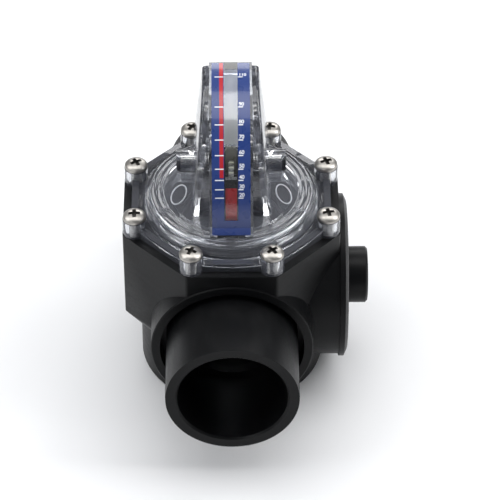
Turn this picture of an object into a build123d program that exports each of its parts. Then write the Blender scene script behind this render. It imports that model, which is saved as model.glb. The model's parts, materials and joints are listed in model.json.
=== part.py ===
from build123d import *
import os
from math import cos, radians, sin

# Flapper flow meter: a three-port valve body under a clear lid with an arc-shaped scale fin.
# Millimetres, +Z up. The origin is the centre of the body's flat base, on the chamber's axis.
# Water enters at +Y and leaves at -Y. The third port, on +X, is closed by a cemented cap.

os.makedirs("parts", exist_ok=True)

# Pipe connections: a 60.3 mm pipe fits inside each spigot, and each spigot has a 73.0 mm pipe's size
socket_radius = 30.15
socket_depth = 48.0
socket_lead = 1.0
spigot_radius = 36.5
spigot_reach = 101.0
passage_radius = 26.0

# Valve body
pipe_axis_height = 54.0
body_height = 106.0
body_half_width = 60.0
body_corner_radius = 2.5
shoulder_top = 50.0
shoulder_bottom = 36.0
lower_radius = 52.0
shoulder_foot_inset = 0.6
base_edge = 1.5
chamber_radius = 48.0
floor_thickness = 8.0
mouth_lead = 1.2
collar_radius = 45.0
collar_standout = 0.8
collar_edge = 0.6
recess_radius = 40.0
recess_depth = 12.0

# Third port and its cap
side_standout = 0.4
plug_radius = 37.0
plug_length = 8.0
cap_radius = 46.3
cap_rim_thickness = 2.8
cap_thickness = 4.6
cap_face_radius = 42.5
cap_boss_radius = 16.0
cap_boss_length = 12.0
cap_boss_edge = 1.2

# Lid plate, bosses and drum
screw_count = 8
screw_circle_inset = 2.4
screw_boss_radius = 6.6
screw_boss_height = 10.0
lid_edge_inset = 4.7
lid_rib_width = 3.8
lid_plate_thickness = 3.5
lid_rib_height = 5.5
drum_height = 12.0
drum_foot_ledge = 1.0
drum_waist_inset = 1.8
drum_waist_height = 9.0
drum_step_inset = 3.0
drum_top_inset = 4.4
skirt_depth = 8.0
cavity_wall = 7.2
cavity_height = 6.0
dome_step = 7.3
dome_height = 8.5

# Lid seal
ring_section_radius = 1.5
ring_depth = 4.2
groove_width = 3.4

# Hinge and scale arc
hinge_y = 22.5
hinge_rise = 2.0
scale_radius = 64.0
scale_end_angle = 96.5
land_half_width = 11.8
land_wall = 4.0
land_side_wall = 4.0

# Fin
fin_front_reach = 45.5
fin_rise = 63.0
fin_base_half_width = 22.0
fin_top_half_width = 15.2
fin_wall = 4.0
fin_side_wall = 4.3
fin_back_reach = 16.0
fin_edge_radius = 2.4

# Hinge housings on both sides of the fin
housing_radius = 6.5
housing_end = 30.5
housing_drop = 12.0
housing_wall = 2.2

# Scale label
label_thickness = 0.25
label_half_width = 10.4
label_window_half_width = 3.75
label_window_angle = 4.5
label_end_angle = 95.5

# Hinge pin, keepers and washers
pin_radius = 2.0
keeper_flange = 1.6
keeper_flange_margin = 3.0
washer_thickness = 0.6
washer_radius = 3.2

# Flapper
hub_radius = 6.0
hub_half_length = 9.0
hub_core_radius = 4.0
nose_radius = 3.0
arm_half_width = 6.0
arm_foot_half_width = 13.0
arm_thickness = 4.5
disc_radius = 24.5
disc_thickness = 3.5
disc_front_offset = 5.5
disc_boss_radius = 6.5
disc_boss_length = 6.0
rib_thickness = 2.4
rib_height = 3.0
rib_margin = 2.5

# Flapper facing
facing_radius = 25.5
facing_thickness = 2.5
retainer_radius = 15.0
retainer_thickness = 1.2
seal_screw_radius = 2.0
seal_screw_head_radius = 4.0
seal_screw_head_height = 2.4

# Seat ring
seat_bore_radius = 22.0
seat_lip_width = 2.5
seat_lip_height = 1.0
seat_flange_radius = 31.0
seat_flange_thickness = 4.7
seat_spigot_length = 10.0
seat_boss_wall = 2.0

# Pointer
pointer_half_width = 3.1
pointer_reach = 59.0
pointer_rim = 8.0
pointer_start_angle = 5.0
pointer_red_end_angle = 25.0
pointer_end_angle = 29.5
pointer_eye_radius = 8.0
pointer_web_half_width = 1.4

# Torsion springs
spring_wire_radius = 0.55
spring_mean_radius = 4.0
spring_turns = 4
spring_pitch = 1.25
tang_length = 2.2
tang_end_gap = 0.2

# Lid screws
screw_shank_radius = 3.1
screw_head_radius = 6.4
screw_head_height = 4.0
screw_head_edge = 1.5
screw_engagement = 12.0
screw_point = 2.5

# Fits
slide_gap = 0.05
screw_gap = 0.15
seal_gap = 0.3
hole_extra_depth = 2.0
root_overlap = 1.0

# Heights and places that follow from the sizes above
flat_turn = 22.5
corner_radius = body_half_width / cos(radians(flat_turn))
lid_base = body_height
drum_top = lid_base + drum_height
hinge_height = drum_top + hinge_rise
collar_reach = body_half_width + collar_standout
side_reach = body_half_width + side_standout
screw_circle_radius = body_half_width - screw_circle_inset
lid_half_width = body_half_width - lid_edge_inset
drum_foot_radius = chamber_radius + drum_foot_ledge
drum_waist_radius = drum_foot_radius - drum_waist_inset
drum_step_radius = drum_foot_radius - drum_step_inset
drum_top_radius = drum_foot_radius - drum_top_inset
cavity_radius = chamber_radius - cavity_wall
dome_radius = cavity_radius - dome_step
seat_boss_radius = seat_flange_radius + seat_boss_wall
screw_seat = lid_base + screw_boss_height
disc_front_y = hinge_y + disc_front_offset
disc_back_y = disc_front_y + disc_thickness
facing_back_y = disc_back_y + facing_thickness
seat_lip_y = facing_back_y + seal_gap
seat_flange_y = seat_lip_y + seat_lip_height
seat_boss_y = seat_flange_y + seat_flange_thickness
retainer_back_y = facing_back_y + retainer_thickness
housing_bottom = hinge_height - housing_drop
fin_back_y = hinge_y + fin_back_reach
scale_back_y = hinge_y + scale_radius * cos(radians(180 - scale_end_angle))
scale_back_height = hinge_height + scale_radius * sin(radians(180 - scale_end_angle))
fin_top = drum_top + fin_rise
back_slope = (fin_back_y - scale_back_y) / (scale_back_height - drum_top)
fin_slope = (fin_base_half_width - fin_top_half_width) / (scale_back_height - drum_top)
housing_start = fin_base_half_width - fin_side_wall - fin_slope * (hinge_height + hub_radius - drum_top)
nose_end = housing_start - washer_thickness - 2 * slide_gap
coil_length = spring_turns * spring_pitch
coil_start = (hub_half_length + nose_end - coil_length) / 2

# Port planes: each normal points out along its port
outlet_plane = Plane(origin=(0, 0, pipe_axis_height), x_dir=(1, 0, 0), z_dir=(0, -1, 0))
inlet_plane = Plane(origin=(0, 0, pipe_axis_height), x_dir=(-1, 0, 0), z_dir=(0, 1, 0))
side_plane = Plane(origin=(0, 0, pipe_axis_height), x_dir=(0, 1, 0), z_dir=(1, 0, 0))

# Fin side profile plane: its X is the object's Y and its Y is the object's Z
profile_plane = Plane.YZ


def back_y(height):
    """Place of the fin's sloping back edge at a height."""
    return fin_back_y - back_slope * (height - drum_top)


def fin_half_width(height):
    """Half width of the drafted fin at a height."""
    return fin_base_half_width - fin_slope * (height - drum_top)


def save(piece, name):
    """Label a finished piece and write it."""
    piece.part.label = name
    export_step(piece.part, "parts/" + name + ".step")


# Valve body: eight-sided block, facetted shoulder, round lower chamber and three ports
with BuildPart() as valve_body:
    with BuildSketch(Plane.XY.offset(shoulder_bottom)) as shoulder_foot:
        RegularPolygon(
            lower_radius - shoulder_foot_inset, 8, major_radius=False, rotation=flat_turn
        )
        fillet(shoulder_foot.vertices(), body_corner_radius)
    with BuildSketch(Plane.XY.offset(shoulder_top)) as shoulder_head:
        RegularPolygon(body_half_width, 8, major_radius=False, rotation=flat_turn)
        fillet(shoulder_head.vertices(), body_corner_radius)
    loft()
    with BuildSketch(Plane.XY.offset(shoulder_top)) as block:
        RegularPolygon(body_half_width, 8, major_radius=False, rotation=flat_turn)
        fillet(block.vertices(), body_corner_radius)
    extrude(amount=body_height - shoulder_top)
    # The shoulder's corners are turned down to the round lower chamber
    with BuildSketch(Plane.XZ):
        with BuildLine():
            Polyline(
                (0, shoulder_bottom),
                (lower_radius, shoulder_bottom),
                (corner_radius, shoulder_top),
                (corner_radius, body_height),
                (0, body_height),
                close=True,
            )
        make_face()
    revolve(axis=Axis.Z, mode=Mode.INTERSECT)
    with BuildSketch(Plane.XZ):
        with BuildLine():
            Polyline(
                (0, 0),
                (lower_radius - base_edge, 0),
                (lower_radius, base_edge),
                (lower_radius, shoulder_bottom + 3 * shoulder_foot_inset),
                (0, shoulder_bottom + 3 * shoulder_foot_inset),
                close=True,
            )
        make_face()
    revolve(axis=Axis.Z)
    # In-line ports: collar and spigot
    for port in (outlet_plane, inlet_plane):
        with BuildSketch(port):
            Circle(collar_radius)
        extrude(amount=collar_reach)
        with BuildSketch(port):
            Circle(spigot_radius)
        extrude(amount=spigot_reach)
    with BuildSketch(side_plane):
        Circle(collar_radius)
    extrude(amount=side_reach)
    # Chamber, open at the top, with a lead-in for the lid's skirt
    with BuildSketch(Plane.XZ):
        with BuildLine():
            Polyline(
                (0, floor_thickness),
                (chamber_radius, floor_thickness),
                (chamber_radius, body_height - mouth_lead),
                (chamber_radius + mouth_lead, body_height),
                (0, body_height),
                close=True,
            )
        make_face()
    revolve(axis=Axis.Z, mode=Mode.SUBTRACT)
    # Boss inside the chamber that carries the seat ring
    with BuildSketch(inlet_plane.offset(seat_boss_y)):
        Circle(seat_boss_radius)
    extrude(amount=chamber_radius + root_overlap - seat_boss_y)
    with BuildSketch(inlet_plane.offset(seat_flange_y)):
        Circle(seat_flange_radius + slide_gap)
    extrude(amount=seat_flange_thickness, mode=Mode.SUBTRACT)
    # Passages, sockets and the recess round each spigot
    for port in (outlet_plane, inlet_plane):
        with BuildSketch(port.offset(seat_boss_y)):
            Circle(passage_radius)
        extrude(amount=spigot_reach - seat_boss_y, mode=Mode.SUBTRACT)
        with BuildSketch(port.offset(spigot_reach - socket_depth)):
            Circle(socket_radius)
        extrude(amount=socket_depth, mode=Mode.SUBTRACT)
        with BuildSketch(port.offset(collar_reach - recess_depth)):
            Circle(recess_radius)
            Circle(spigot_radius, mode=Mode.SUBTRACT)
        extrude(amount=recess_depth, mode=Mode.SUBTRACT)
    with BuildSketch(side_plane.offset(seat_boss_y)):
        Circle(passage_radius)
    extrude(amount=side_reach - seat_boss_y, mode=Mode.SUBTRACT)
    with BuildSketch(side_plane.offset(side_reach - plug_length)):
        Circle(plug_radius)
    extrude(amount=plug_length, mode=Mode.SUBTRACT)
    # Pilot holes for the lid screws
    with BuildSketch(Plane.XY.offset(body_height)):
        with PolarLocations(screw_circle_radius, screw_count, start_angle=flat_turn):
            Circle(screw_shank_radius + slide_gap)
    extrude(amount=-(screw_engagement + hole_extra_depth), mode=Mode.SUBTRACT)
    # Lead-in at each socket's mouth and a broken outer edge on each collar
    mouths = valve_body.edges().filter_by(GeomType.CIRCLE).filter_by(
        lambda edge: abs(edge.radius - socket_radius) < 0.01
        and abs(abs(edge.center().Y) - spigot_reach) < 0.01
    )
    chamfer(mouths, socket_lead)
    rims = valve_body.edges().filter_by(GeomType.CIRCLE).filter_by(
        lambda edge: abs(edge.radius - collar_radius) < 0.01
        and abs(abs(edge.center().Y) - collar_reach) < 0.01
    )
    chamfer(rims, collar_edge)
save(valve_body, "valve_body")

# Cap of the third port: plug, stepped disc and round boss, turned about the port's axis
with BuildPart() as side_port_cap:
    with BuildSketch(Plane.XZ):
        with BuildLine():
            Polyline(
                (side_reach - plug_length + slide_gap, pipe_axis_height),
                (side_reach - plug_length + slide_gap, pipe_axis_height + plug_radius - slide_gap),
                (side_reach, pipe_axis_height + plug_radius - slide_gap),
                (side_reach, pipe_axis_height + cap_radius),
                (side_reach + cap_rim_thickness, pipe_axis_height + cap_radius),
                (side_reach + cap_thickness, pipe_axis_height + cap_face_radius),
                (side_reach + cap_thickness, pipe_axis_height + cap_boss_radius),
                (side_reach + cap_thickness + cap_boss_length, pipe_axis_height + cap_boss_radius),
                (side_reach + cap_thickness + cap_boss_length, pipe_axis_height),
                close=True,
            )
        make_face()
    revolve(axis=Axis((0, 0, pipe_axis_height), (1, 0, 0)))
    # Hollow behind the plug, so that the moulding has even walls
    with BuildSketch(side_plane.offset(side_reach - plug_length)):
        Circle(passage_radius)
    extrude(amount=plug_length, mode=Mode.SUBTRACT)
    boss_rim = side_port_cap.edges().filter_by(GeomType.CIRCLE).sort_by(Axis.X)[-1]
    chamfer(boss_rim, cap_boss_edge)
save(side_port_cap, "side_port_cap")

# Outer form of the fin's drafted flanks
with BuildPart() as fin_flanks:
    with BuildSketch(profile_plane):
        with BuildLine():
            front = EllipticalCenterArc(
                (hinge_y, drum_top), fin_front_reach, fin_rise, start_angle=90, arc_size=90
            )
            Polyline(
                front @ 1,
                (hinge_y - fin_front_reach, drum_top - root_overlap),
                (back_y(drum_top - root_overlap), drum_top - root_overlap),
                (back_y(fin_top), fin_top),
                front @ 0,
            )
        make_face()
    extrude(amount=fin_base_half_width + root_overlap, both=True)
    with BuildSketch(Plane.XZ):
        with BuildLine():
            Polyline(
                (-fin_half_width(drum_top - root_overlap), drum_top - root_overlap),
                (fin_half_width(drum_top - root_overlap), drum_top - root_overlap),
                (fin_half_width(fin_top), fin_top),
                (-fin_half_width(fin_top), fin_top),
                close=True,
            )
        make_face()
    extrude(amount=scale_radius, both=True, mode=Mode.INTERSECT)
    upper_edges = fin_flanks.edges().filter_by(
        lambda edge: edge.center().Z > drum_top and edge.center().Y < back_y(edge.center().Z) - 1
    )
    fillet(upper_edges, fin_edge_radius)

# Outer form of the land that carries the scale
with BuildPart() as fin_land:
    with BuildSketch(profile_plane):
        with BuildLine():
            land_arc = CenterArc(
                (hinge_y, hinge_height), scale_radius, 180 - scale_end_angle, scale_end_angle
            )
            Polyline(
                land_arc @ 1,
                (hinge_y - scale_radius, drum_top - root_overlap),
                (back_y(drum_top - root_overlap), drum_top - root_overlap),
                land_arc @ 0,
            )
        make_face()
    extrude(amount=land_half_width, both=True)

# Hollow inside the flanks, open below
with BuildPart() as fin_flank_hollow:
    with BuildSketch(profile_plane):
        with BuildLine():
            inner_front = EllipticalCenterArc(
                (hinge_y, drum_top),
                fin_front_reach - fin_wall,
                fin_rise - fin_wall,
                start_angle=90,
                arc_size=90,
            )
            Polyline(
                inner_front @ 1,
                (hinge_y - fin_front_reach + fin_wall, lid_base),
                (back_y(lid_base) - fin_wall, lid_base),
                (back_y(fin_top - fin_wall) - fin_wall, fin_top - fin_wall),
                inner_front @ 0,
            )
        make_face()
    extrude(amount=fin_base_half_width + root_overlap, both=True)
    with BuildSketch(Plane.XZ):
        with BuildLine():
            Polyline(
                (-(fin_half_width(drum_top) - fin_side_wall), lid_base),
                (fin_half_width(drum_top) - fin_side_wall, lid_base),
                (fin_half_width(drum_top) - fin_side_wall, drum_top),
                (fin_half_width(fin_top) - fin_side_wall, fin_top),
                (-(fin_half_width(fin_top) - fin_side_wall), fin_top),
                (-(fin_half_width(drum_top) - fin_side_wall), drum_top),
                close=True,
            )
        make_face()
    extrude(amount=scale_radius, both=True, mode=Mode.INTERSECT)

# Hollow inside the land, where the pointer swings
with BuildPart() as fin_land_hollow:
    with BuildSketch(profile_plane):
        with BuildLine():
            hollow_radius = scale_radius - land_wall
            hollow_end = 180 - scale_end_angle + 4
            hollow_arc = CenterArc((hinge_y, hinge_height), hollow_radius, hollow_end, 180 - hollow_end)
            Polyline(
                hollow_arc @ 1,
                (hinge_y - hollow_radius, lid_base),
                (hinge_y, lid_base),
                (hinge_y + hollow_radius * cos(radians(hollow_end)), lid_base),
                hollow_arc @ 0,
            )
        make_face()
    extrude(amount=land_half_width - land_side_wall, both=True)

# Lid: plate with edge rib, bosses, stepped drum, skirt, fin and hinge housings, one clear moulding
with BuildPart() as lid:
    with BuildSketch(Plane.XY.offset(lid_base)) as plate:
        RegularPolygon(lid_half_width, 8, major_radius=False, rotation=flat_turn)
        fillet(plate.vertices(), body_corner_radius)
    extrude(amount=lid_plate_thickness)
    with BuildSketch(Plane.XY.offset(lid_base)) as rib:
        RegularPolygon(lid_half_width, 8, major_radius=False, rotation=flat_turn)
        fillet(rib.vertices(), body_corner_radius)
        RegularPolygon(
            lid_half_width - lid_rib_width, 8, major_radius=False, rotation=flat_turn, mode=Mode.SUBTRACT
        )
    extrude(amount=lid_rib_height)
    with BuildSketch(Plane.XY.offset(lid_base)):
        with PolarLocations(screw_circle_radius, screw_count, start_angle=flat_turn):
            Circle(screw_boss_radius)
    extrude(amount=screw_boss_height)
    with BuildSketch(Plane.XZ):
        with BuildLine():
            Polyline(
                (0, lid_base - skirt_depth),
                (chamber_radius - slide_gap, lid_base - skirt_depth),
                (chamber_radius - slide_gap, lid_base),
                (drum_foot_radius, lid_base),
                (drum_foot_radius, lid_base + lid_rib_height),
                (drum_waist_radius, lid_base + drum_waist_height),
                (drum_step_radius, lid_base + drum_waist_height),
                (drum_top_radius, drum_top),
                (0, drum_top),
                close=True,
            )
        make_face()
    revolve(axis=Axis.Z)
    add(fin_flanks.part)
    add(fin_land.part)
    # Hinge housings: round backed blocks across the drum on both sides of the fin
    with BuildSketch(profile_plane.offset(-housing_end)):
        with Locations((hinge_y, hinge_height)):
            Circle(housing_radius)
        with Locations((hinge_y, (drum_top + hinge_height) / 2 - root_overlap)):
            Rectangle(2 * housing_radius, hinge_height - drum_top + 2 * root_overlap)
    extrude(amount=2 * housing_end)
    # Cavity under the drum, in two steps
    with BuildSketch(Plane.XY.offset(lid_base - skirt_depth)):
        Circle(cavity_radius)
    extrude(amount=skirt_depth + cavity_height, mode=Mode.SUBTRACT)
    with BuildSketch(Plane.XY.offset(lid_base)):
        Circle(dome_radius)
    extrude(amount=dome_height, mode=Mode.SUBTRACT)
    add(fin_flank_hollow.part, mode=Mode.SUBTRACT)
    add(fin_land_hollow.part, mode=Mode.SUBTRACT)
    # Lugs that hang from the drum and hold the pin
    for side in (1, -1):
        with BuildSketch(profile_plane.offset(side * housing_start)):
            with Locations((hinge_y, (housing_bottom + hinge_height) / 2)):
                Rectangle(2 * housing_radius, hinge_height - housing_bottom)
        extrude(amount=side * (housing_end - housing_start))
    # Pin slots, open below, with a round seat at the hinge axis
    for side in (1, -1):
        with BuildSketch(profile_plane.offset(side * (housing_start - root_overlap))):
            with Locations((hinge_y, hinge_height)):
                Circle(pin_radius + slide_gap)
            with Locations((hinge_y, (housing_bottom + hinge_height) / 2)):
                Rectangle(2 * (pin_radius + slide_gap), hinge_height - housing_bottom)
        extrude(amount=side * (housing_end - housing_start + root_overlap - housing_wall), mode=Mode.SUBTRACT)
        # Hole for the spring's outer tang
        with BuildSketch(profile_plane.offset(side * (housing_start - root_overlap))):
            with Locations((hinge_y, hinge_height + spring_mean_radius)):
                Circle(spring_wire_radius + 2 * slide_gap)
        extrude(amount=side * (tang_length + root_overlap), mode=Mode.SUBTRACT)
    # Groove in the skirt for the sealing ring
    with BuildSketch(Plane.XY.offset(lid_base - ring_depth - groove_width / 2)):
        Circle(chamber_radius)
        Circle(chamber_radius - 2 * ring_section_radius - 2 * slide_gap, mode=Mode.SUBTRACT)
    extrude(amount=groove_width, mode=Mode.SUBTRACT)
    # Screw holes through plate and bosses
    with BuildSketch(Plane.XY.offset(lid_base)):
        with PolarLocations(screw_circle_radius, screw_count, start_angle=flat_turn):
            Circle(screw_shank_radius + screw_gap)
    extrude(amount=screw_boss_height, mode=Mode.SUBTRACT)
save(lid, "lid")

# Sealing ring in the skirt's groove
with BuildPart() as lid_o_ring:
    ring_centre = chamber_radius - slide_gap - ring_section_radius
    with BuildSketch(Plane.XZ):
        with Locations((ring_centre, lid_base - ring_depth)):
            RegularPolygon(ring_section_radius, 8, rotation=flat_turn)
    revolve(axis=Axis.Z)
save(lid_o_ring, "lid_o_ring")

# Scale label: a film bent round the land, with a window that is open at the top
with BuildPart() as scale_label:
    with BuildSketch(profile_plane):
        with BuildLine():
            label_start = 180 - label_end_angle
            outer = CenterArc(
                (hinge_y, hinge_height), scale_radius + label_thickness, label_start, label_end_angle
            )
            inner = CenterArc((hinge_y, hinge_height), scale_radius, label_start, label_end_angle)
            Line(outer @ 0, inner @ 0)
            Line(outer @ 1, inner @ 1)
        make_face()
    extrude(amount=label_half_width, both=True)
    with BuildSketch(profile_plane):
        with BuildLine():
            window_reach = 2 * scale_radius
            window_low = radians(label_window_angle)
            Polyline(
                (hinge_y, hinge_height),
                (hinge_y - window_reach * cos(window_low), hinge_height + window_reach * sin(window_low)),
                (hinge_y - window_reach, hinge_height + window_reach),
                (hinge_y + window_reach, hinge_height + window_reach),
                close=True,
            )
        make_face()
    extrude(amount=label_window_half_width, both=True, mode=Mode.SUBTRACT)
save(scale_label, "scale_label")

# Hinge pin, held at both ends in the lid's slots
pin_half_length = housing_end - housing_wall - 2 * slide_gap
with BuildPart() as hinge_pin:
    with BuildSketch(profile_plane.offset(-pin_half_length)):
        with Locations((hinge_y, hinge_height)):
            Circle(pin_radius)
    extrude(amount=2 * pin_half_length)
    chamfer(hinge_pin.edges().filter_by(GeomType.CIRCLE), 0.4)
save(hinge_pin, "hinge_pin")

# Keepers that close the slots under the pin, and washers between hub and housings
for side, hand in ((-1, "left"), (1, "right")):
    with BuildPart() as pin_keeper:
        keeper_top = hinge_height - pin_radius - slide_gap
        keeper_start = housing_start + slide_gap
        keeper_end = housing_end - housing_wall - slide_gap
        with BuildSketch(profile_plane.offset(side * keeper_start)):
            with Locations((hinge_y, (housing_bottom + keeper_top) / 2)):
                Rectangle(2 * pin_radius, keeper_top - housing_bottom)
        extrude(amount=side * (keeper_end - keeper_start))
        with BuildSketch(profile_plane.offset(side * keeper_start)):
            with Locations((hinge_y, housing_bottom - keeper_flange / 2)):
                Rectangle(2 * (pin_radius + keeper_flange_margin), keeper_flange)
        extrude(amount=side * (keeper_end - keeper_start))
    save(pin_keeper, "pin_keeper_" + hand)
    with BuildPart() as pivot_washer:
        with BuildSketch(profile_plane.offset(side * (nose_end + slide_gap))):
            with Locations((hinge_y, hinge_height)):
                Circle(washer_radius)
                Circle(pin_radius + slide_gap, mode=Mode.SUBTRACT)
        extrude(amount=side * washer_thickness)
    save(pivot_washer, "pivot_washer_" + hand)

# Flapper: hub, arm and ribbed disc, one moulding
with BuildPart() as flapper:
    with BuildSketch(profile_plane.offset(-hub_half_length)):
        with Locations((hinge_y, hinge_height)):
            Circle(hub_radius)
    extrude(amount=2 * hub_half_length)
    with BuildSketch(profile_plane.offset(-nose_end)):
        with Locations((hinge_y, hinge_height)):
            Circle(nose_radius)
    extrude(amount=2 * nose_end)
    # Neck and arm, wider towards the disc
    with BuildSketch(Plane.XZ.offset(-disc_front_y)):
        with BuildLine():
            Polyline(
                (-arm_half_width, hinge_height),
                (arm_half_width, hinge_height),
                (arm_half_width, hinge_height - 2 * hub_radius),
                (arm_foot_half_width, pipe_axis_height + disc_radius / 2),
                (-arm_foot_half_width, pipe_axis_height + disc_radius / 2),
                (-arm_half_width, hinge_height - 2 * hub_radius),
                close=True,
            )
        make_face()
    extrude(amount=arm_thickness)
    with BuildSketch(inlet_plane.offset(disc_front_y)):
        Circle(disc_radius)
    extrude(amount=disc_thickness)
    # The arm's foot thickens into the disc
    with BuildSketch(Plane.XZ.offset(-disc_back_y)):
        with BuildLine():
            Polyline(
                (-arm_half_width, hinge_height - 2 * hub_radius),
                (arm_half_width, hinge_height - 2 * hub_radius),
                (arm_foot_half_width, pipe_axis_height + disc_radius / 2),
                (-arm_foot_half_width, pipe_axis_height + disc_radius / 2),
                close=True,
            )
        make_face()
    extrude(amount=disc_thickness)
    with BuildSketch(outlet_plane.offset(-disc_front_y)):
        Circle(disc_boss_radius)
    extrude(amount=disc_boss_length)
    with BuildSketch(outlet_plane.offset(-disc_front_y)):
        Rectangle(2 * (disc_radius - rib_margin), rib_thickness)
        Rectangle(rib_thickness, 2 * (disc_radius - rib_margin))
    extrude(amount=rib_height)
    # Narrow core between the hub's halves, where the pointer's eye sits
    with BuildSketch(profile_plane.offset(-pointer_half_width - slide_gap)):
        with Locations((hinge_y, hinge_height)):
            Circle(pointer_eye_radius + slide_gap)
            Circle(hub_core_radius, mode=Mode.SUBTRACT)
    extrude(amount=2 * (pointer_half_width + slide_gap), mode=Mode.SUBTRACT)
    # Pin bore through hub and noses, spring tang holes, screw bore through the disc
    with BuildSketch(profile_plane.offset(-nose_end)):
        with Locations((hinge_y, hinge_height)):
            Circle(pin_radius + slide_gap)
    extrude(amount=2 * nose_end, mode=Mode.SUBTRACT)
    for side in (1, -1):
        with BuildSketch(profile_plane.offset(side * hub_half_length)):
            with Locations((hinge_y, hinge_height + spring_mean_radius)):
                Circle(spring_wire_radius + 2 * slide_gap)
        extrude(amount=-side * tang_length, mode=Mode.SUBTRACT)
    with BuildSketch(outlet_plane.offset(-disc_back_y)):
        Circle(seal_screw_radius + slide_gap)
    extrude(amount=disc_thickness + disc_boss_length, mode=Mode.SUBTRACT)
save(flapper, "flapper")

# Rubber facing, its clamping washer and the screw through them
with BuildPart() as flapper_seal:
    with BuildSketch(inlet_plane.offset(disc_back_y)):
        Circle(facing_radius)
        Circle(seal_screw_radius + slide_gap, mode=Mode.SUBTRACT)
    extrude(amount=facing_thickness)
save(flapper_seal, "flapper_seal")

with BuildPart() as seal_retainer:
    with BuildSketch(inlet_plane.offset(facing_back_y)):
        Circle(retainer_radius)
        Circle(seal_screw_radius + slide_gap, mode=Mode.SUBTRACT)
    extrude(amount=retainer_thickness)
    chamfer(seal_retainer.edges().filter_by(GeomType.CIRCLE).sort_by(Axis.Y)[-1], 0.5)
save(seal_retainer, "seal_retainer")

with BuildPart() as seal_screw:
    with BuildSketch(inlet_plane.offset(retainer_back_y)):
        Circle(seal_screw_head_radius)
    extrude(amount=seal_screw_head_height)
    chamfer(seal_screw.edges().sort_by(Axis.Y)[-1], seal_screw_head_height / 3)
    with BuildSketch(outlet_plane.offset(-retainer_back_y)):
        Circle(seal_screw_radius)
    extrude(amount=retainer_back_y - disc_front_y + disc_boss_length)
save(seal_screw, "seal_screw")

# Seat ring: sealing lip, flange on the body's boss and spigot in the inlet passage
with BuildPart() as seat_ring:
    with BuildSketch(inlet_plane.offset(seat_lip_y)):
        Circle(seat_bore_radius + seat_lip_width)
    extrude(amount=seat_lip_height)
    with BuildSketch(inlet_plane.offset(seat_flange_y)):
        Circle(seat_flange_radius)
    extrude(amount=seat_flange_thickness)
    with BuildSketch(inlet_plane.offset(seat_boss_y)):
        Circle(passage_radius - slide_gap)
    extrude(amount=seat_spigot_length)
    with BuildSketch(inlet_plane.offset(seat_lip_y)):
        Circle(seat_bore_radius)
    extrude(
        amount=seat_lip_height + seat_flange_thickness + seat_spigot_length, mode=Mode.SUBTRACT
    )
save(seat_ring, "seat_ring")


def sector_point(radius, angle):
    """Point of the pointer's side profile at a radius and an angle above the outlet side."""
    return (hinge_y - radius * cos(radians(angle)), hinge_height + radius * sin(radians(angle)))


# Pointer: eye round the hub's core, thin web and a wide rim that follows the scale
with BuildPart() as pointer:
    with BuildSketch(profile_plane):
        with Locations((hinge_y, hinge_height)):
            Circle(pointer_eye_radius)
    extrude(amount=pointer_half_width, both=True)
    with BuildSketch(profile_plane):
        with BuildLine():
            Polyline(
                sector_point(hub_core_radius, pointer_start_angle - 20),
                sector_point(pointer_reach - pointer_rim / 2, pointer_start_angle),
                sector_point(pointer_reach - pointer_rim / 2, pointer_end_angle),
                sector_point(hub_core_radius, pointer_end_angle + 20),
                close=True,
            )
        make_face()
    extrude(amount=pointer_web_half_width, both=True)
    with BuildSketch(profile_plane):
        with BuildLine():
            red_angle = pointer_red_end_angle - pointer_start_angle
            rim_outer = CenterArc(
                (hinge_y, hinge_height), pointer_reach, 180 - pointer_red_end_angle, red_angle
            )
            rim_inner = CenterArc(
                (hinge_y, hinge_height), pointer_reach - pointer_rim, 180 - pointer_red_end_angle, red_angle
            )
            Line(rim_outer @ 0, rim_inner @ 0)
            Line(rim_outer @ 1, rim_inner @ 1)
        make_face()
    extrude(amount=pointer_half_width, both=True)
    with BuildSketch(profile_plane):
        with Locations((hinge_y, hinge_height)):
            Circle(hub_core_radius + slide_gap)
    extrude(amount=pointer_half_width, both=True, mode=Mode.SUBTRACT)
    # Room for the tip's slot on the web's end
    with BuildSketch(profile_plane):
        with BuildLine():
            Polyline(
                sector_point(pointer_reach - pointer_rim, pointer_red_end_angle),
                sector_point(2 * pointer_reach, pointer_red_end_angle),
                sector_point(2 * pointer_reach, pointer_end_angle + 20),
                sector_point(pointer_reach - pointer_rim, pointer_end_angle + 20),
                close=True,
            )
        make_face()
    extrude(amount=pointer_half_width, both=True, mode=Mode.SUBTRACT)
save(pointer, "pointer")

# Black tip on the end of the pointer's rim
with BuildPart() as pointer_tip:
    with BuildSketch(profile_plane):
        with BuildLine():
            tip_angle = pointer_end_angle - pointer_red_end_angle
            tip_outer = CenterArc(
                (hinge_y, hinge_height), pointer_reach, 180 - pointer_end_angle, tip_angle
            )
            tip_inner = CenterArc(
                (hinge_y, hinge_height),
                pointer_reach - pointer_rim + slide_gap,
                180 - pointer_end_angle,
                tip_angle,
            )
            Line(tip_outer @ 0, tip_inner @ 0)
            Line(tip_outer @ 1, tip_inner @ 1)
        make_face()
    extrude(amount=pointer_half_width, both=True)
save(pointer_tip, "pointer_tip")

# Torsion springs round the hub's noses: a coil with a straight tang at each end
with BuildPart() as right_spring:
    with BuildLine() as coil:
        Helix(
            pitch=spring_pitch,
            height=coil_length,
            radius=spring_mean_radius,
            center=(coil_start, hinge_y, hinge_height),
            direction=(1, 0, 0),
        )
    with BuildSketch(Plane(origin=coil.line @ 0, x_dir=(1, 0, 0), z_dir=coil.line % 0)):
        RegularPolygon(spring_wire_radius, 4)
    sweep(is_frenet=True)
    # One tang reaches into the hub's hole and one into the lug's
    for tang_root, tang_tip in (
        (coil_start, hub_half_length - tang_length + tang_end_gap),
        (coil_start + coil_length, housing_start + tang_length - tang_end_gap),
    ):
        with BuildSketch(profile_plane.offset(tang_root)):
            with Locations((hinge_y, hinge_height + spring_mean_radius)):
                RegularPolygon(spring_wire_radius, 6)
        extrude(amount=tang_tip - tang_root)
save(right_spring, "torsion_spring_right")

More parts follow.
